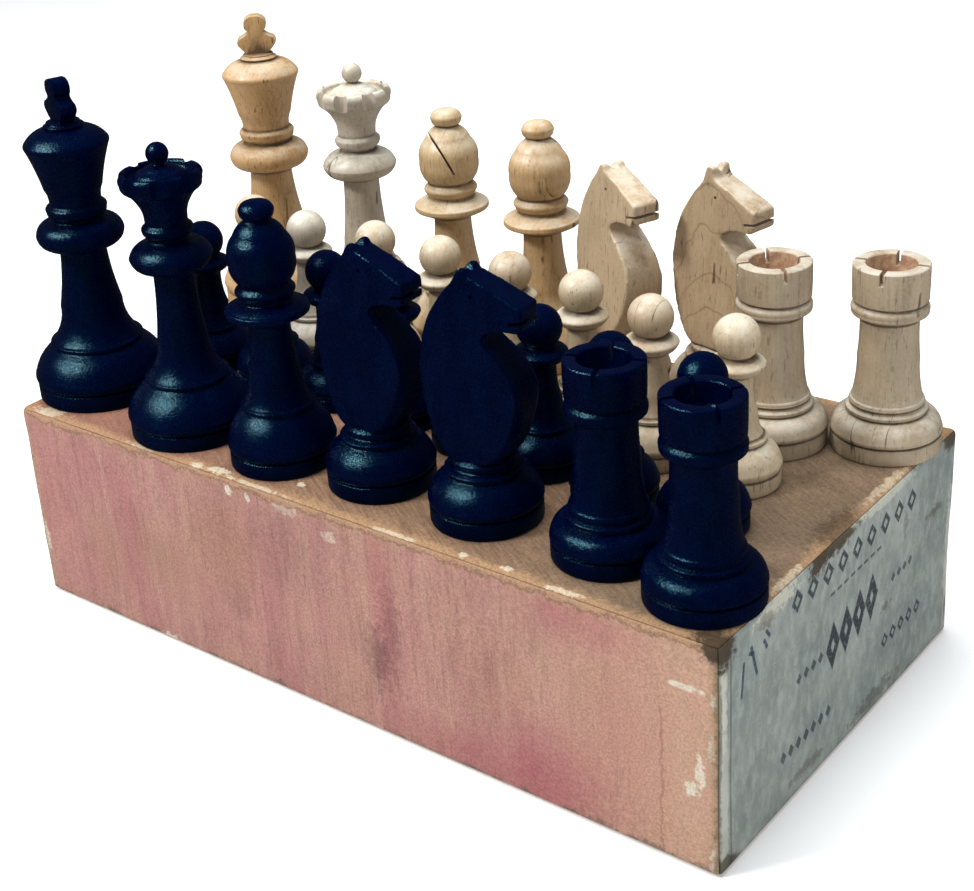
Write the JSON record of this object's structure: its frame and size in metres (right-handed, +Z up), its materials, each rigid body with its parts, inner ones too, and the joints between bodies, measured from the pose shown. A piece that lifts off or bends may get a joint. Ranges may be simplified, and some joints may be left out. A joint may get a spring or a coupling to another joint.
{
  "type": "chess set in a cardboard box",
  "caption": "turned wooden Staunton chessmen, black lacquered and natural, standing on the closed lift-off lid of their cardboard box",
  "frame": {"origin": "middle of the tray's underside, the face that the box stands on", "axes": "+X along the box from the kings' end to the labelled end, +Y across it from the black men to the white men, +Z up"},
  "size_m": [0.2374, 0.1189, 0.1504],
  "materials": {
    "grey_board": "bare grey-brown box board, matte",
    "kraft_board": "worn tan kraft board, matte",
    "pink_paper": "pasted wrap, pink faded to tan, matte",
    "label_paper": "grey-green pasted label, matte",
    "black_lacquered_wood": "thick blue-black lacquer over turned wood, glossy",
    "pale_wood": "natural turned hardwood under a thin aged varnish, satin"
  },
  "bodies": {
    "tray": {"tray": "grey_board"},
    "lid": {"lid": "kraft_board", "side_paper_front": "pink_paper", "side_paper_back": "pink_paper", "end_paper": "pink_paper", "end_label": "label_paper"},
    "black_king": {"black_king": "black_lacquered_wood"},
    "black_queen": {"black_queen": "black_lacquered_wood"},
    "black_bishop_1": {"black_bishop_1": "black_lacquered_wood"},
    "black_bishop_2": {"black_bishop_2": "black_lacquered_wood"},
    "black_knight_1": {"black_knight_1": "black_lacquered_wood"},
    "black_knight_2": {"black_knight_2": "black_lacquered_wood"},
    "black_rook_1": {"black_rook_1": "black_lacquered_wood"},
    "black_rook_2": {"black_rook_2": "black_lacquered_wood"},
    "black_pawn_1": {"black_pawn_1": "black_lacquered_wood"},
    "black_pawn_2": {"black_pawn_2": "black_lacquered_wood"},
    "black_pawn_3": {"black_pawn_3": "black_lacquered_wood"},
    "black_pawn_4": {"black_pawn_4": "black_lacquered_wood"},
    "black_pawn_5": {"black_pawn_5": "black_lacquered_wood"},
    "black_pawn_6": {"black_pawn_6": "black_lacquered_wood"},
    "black_pawn_7": {"black_pawn_7": "black_lacquered_wood"},
    "black_pawn_8": {"black_pawn_8": "black_lacquered_wood"},
    "white_king": {"white_king": "pale_wood"},
    "white_queen": {"white_queen": "pale_wood"},
    "white_bishop_1": {"white_bishop_1": "pale_wood"},
    "white_bishop_2": {"white_bishop_2": "pale_wood"},
    "white_knight_1": {"white_knight_1": "pale_wood"},
    "white_knight_2": {"white_knight_2": "pale_wood"},
    "white_rook_1": {"white_rook_1": "pale_wood"},
    "white_rook_2": {"white_rook_2": "pale_wood"},
    "white_pawn_1": {"white_pawn_1": "pale_wood"},
    "white_pawn_2": {"white_pawn_2": "pale_wood"},
    "white_pawn_3": {"white_pawn_3": "pale_wood"},
    "white_pawn_4": {"white_pawn_4": "pale_wood"},
    "white_pawn_5": {"white_pawn_5": "pale_wood"},
    "white_pawn_6": {"white_pawn_6": "pale_wood"},
    "white_pawn_7": {"white_pawn_7": "pale_wood"},
    "white_pawn_8": {"white_pawn_8": "pale_wood"}
  },
  "joints": [
    {"name": "lid_lift", "type": "slide", "parent": "tray", "child": "lid", "axis": [0, 0, 1], "range_m": [0, 0.075]},
    {"name": "black_king_lift", "type": "slide", "parent": "lid", "child": "black_king", "axis": [0, 0, 1], "range_m": [0, 0.1]},
    {"name": "black_queen_lift", "type": "slide", "parent": "lid", "child": "black_queen", "axis": [0, 0, 1], "range_m": [0, 0.1]},
    {"name": "black_bishop_1_lift", "type": "slide", "parent": "lid", "child": "black_bishop_1", "axis": [0, 0, 1], "range_m": [0, 0.1]},
    {"name": "black_bishop_2_lift", "type": "slide", "parent": "tray", "child": "black_bishop_2", "axis": [0, 0, 1], "range_m": [0, 0.02]},
    {"name": "black_knight_1_lift", "type": "slide", "parent": "lid", "child": "black_knight_1", "axis": [0, 0, 1], "range_m": [0, 0.1]},
    {"name": "black_knight_2_lift", "type": "slide", "parent": "lid", "child": "black_knight_2", "axis": [0, 0, 1], "range_m": [0, 0.1]},
    {"name": "black_rook_1_lift", "type": "slide", "parent": "lid", "child": "black_rook_1", "axis": [0, 0, 1], "range_m": [0, 0.1]},
    {"name": "black_rook_2_lift", "type": "slide", "parent": "lid", "child": "black_rook_2", "axis": [0, 0, 1], "range_m": [0, 0.1]},
    {"name": "black_pawn_1_lift", "type": "slide", "parent": "lid", "child": "black_pawn_1", "axis": [0, 0, 1], "range_m": [0, 0.1]},
    {"name": "black_pawn_2_lift", "type": "slide", "parent": "lid", "child": "black_pawn_2", "axis": [0, 0, 1], "range_m": [0, 0.1]},
    {"name": "black_pawn_3_lift", "type": "slide", "parent": "lid", "child": "black_pawn_3", "axis": [0, 0, 1], "range_m": [0, 0.1]},
    {"name": "black_pawn_4_lift", "type": "slide", "parent": "lid", "child": "black_pawn_4", "axis": [0, 0, 1], "range_m": [0, 0.1]},
    {"name": "black_pawn_5_lift", "type": "slide", "parent": "lid", "child": "black_pawn_5", "axis": [0, 0, 1], "range_m": [0, 0.1]},
    {"name": "black_pawn_6_lift", "type": "slide", "parent": "lid", "child": "black_pawn_6", "axis": [0, 0, 1], "range_m": [0, 0.1]},
    {"name": "black_pawn_7_lift", "type": "slide", "parent": "lid", "child": "black_pawn_7", "axis": [0, 0, 1], "range_m": [0, 0.1]},
    {"name": "black_pawn_8_lift", "type": "slide", "parent": "lid", "child": "black_pawn_8", "axis": [0, 0, 1], "range_m": [0, 0.1]},
    {"name": "white_king_lift", "type": "slide", "parent": "lid", "child": "white_king", "axis": [0, 0, 1], "range_m": [0, 0.1]},
    {"name": "white_queen_lift", "type": "slide", "parent": "lid", "child": "white_queen", "axis": [0, 0, 1], "range_m": [0, 0.1]},
    {"name": "white_bishop_1_lift", "type": "slide", "parent": "lid", "child": "white_bishop_1", "axis": [0, 0, 1], "range_m": [0, 0.1]},
    {"name": "white_bishop_2_lift", "type": "slide", "parent": "lid", "child": "white_bishop_2", "axis": [0, 0, 1], "range_m": [0, 0.1]},
    {"name": "white_knight_1_lift", "type": "slide", "parent": "lid", "child": "white_knight_1", "axis": [0, 0, 1], "range_m": [0, 0.1]},
    {"name": "white_knight_2_lift", "type": "slide", "parent": "lid", "child": "white_knight_2", "axis": [0, 0, 1], "range_m": [0, 0.1]},
    {"name": "white_rook_1_lift", "type": "slide", "parent": "lid", "child": "white_rook_1", "axis": [0, 0, 1], "range_m": [0, 0.1]},
    {"name": "white_rook_2_lift", "type": "slide", "parent": "lid", "child": "white_rook_2", "axis": [0, 0, 1], "range_m": [0, 0.1]},
    {"name": "white_pawn_1_lift", "type": "slide", "parent": "lid", "child": "white_pawn_1", "axis": [0, 0, 1], "range_m": [0, 0.1]},
    {"name": "white_pawn_2_lift", "type": "slide", "parent": "lid", "child": "white_pawn_2", "axis": [0, 0, 1], "range_m": [0, 0.1]},
    {"name": "white_pawn_3_lift", "type": "slide", "parent": "lid", "child": "white_pawn_3", "axis": [0, 0, 1], "range_m": [0, 0.1]},
    {"name": "white_pawn_4_lift", "type": "slide", "parent": "lid", "child": "white_pawn_4", "axis": [0, 0, 1], "range_m": [0, 0.1]},
    {"name": "white_pawn_5_lift", "type": "slide", "parent": "lid", "child": "white_pawn_5", "axis": [0, 0, 1], "range_m": [0, 0.1]},
    {"name": "white_pawn_6_lift", "type": "slide", "parent": "lid", "child": "white_pawn_6", "axis": [0, 0, 1], "range_m": [0, 0.1]},
    {"name": "white_pawn_7_lift", "type": "slide", "parent": "lid", "child": "white_pawn_7", "axis": [0, 0, 1], "range_m": [0, 0.1]},
    {"name": "white_pawn_8_lift", "type": "slide", "parent": "lid", "child": "white_pawn_8", "axis": [0, 0, 1], "range_m": [0, 0.1]}
  ]
}
